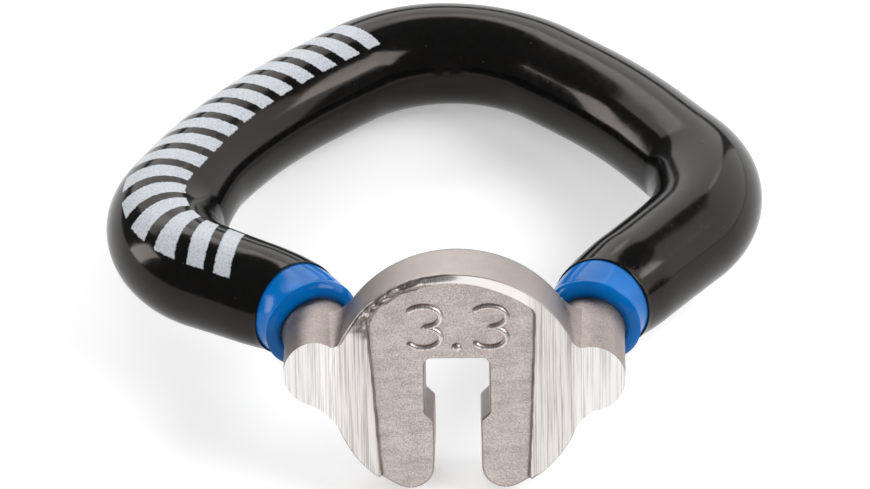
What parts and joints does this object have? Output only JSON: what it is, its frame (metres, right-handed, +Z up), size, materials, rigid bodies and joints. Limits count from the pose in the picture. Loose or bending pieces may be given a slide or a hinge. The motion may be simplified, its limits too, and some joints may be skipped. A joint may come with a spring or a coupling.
{
  "type": "spoke wrench",
  "caption": "Bicycle spoke wrench: round cast head with a nipple slot, brazed between the ends of a bent steel rod whose finger loop is dipped in blue and then black vinyl",
  "frame": {"origin": "axis of a nipple seated in the pocket, on the plane of the ground front face", "axes": "X across the loop to the right as seen from the head, Y from the head to the back of the loop, Z up, with the wrench lying on its two prong tips and on the back of its loop; the spoke's axis lies in the YZ plane, turned 18.24 degrees about X from Y"},
  "size_m": [0.0339, 0.033, 0.0125],
  "materials": {
    "cast_head": "cast steel with a satin plating, ground bright on its front lands",
    "rod_steel": "bare drawn steel, satin, ground bright on its ends",
    "braze": "silver-coloured brazing alloy, plated over with the head",
    "blue_vinyl": "glossy dipped vinyl",
    "black_vinyl": "glossy dipped vinyl"
  },
  "bodies": {
    "root": {"wrench_head": "cast_head", "core_rod": "rod_steel", "braze_left": "braze", "braze_right": "braze", "blue_undercoat": "blue_vinyl", "black_grip": "black_vinyl"}
  },
  "joints": []
}
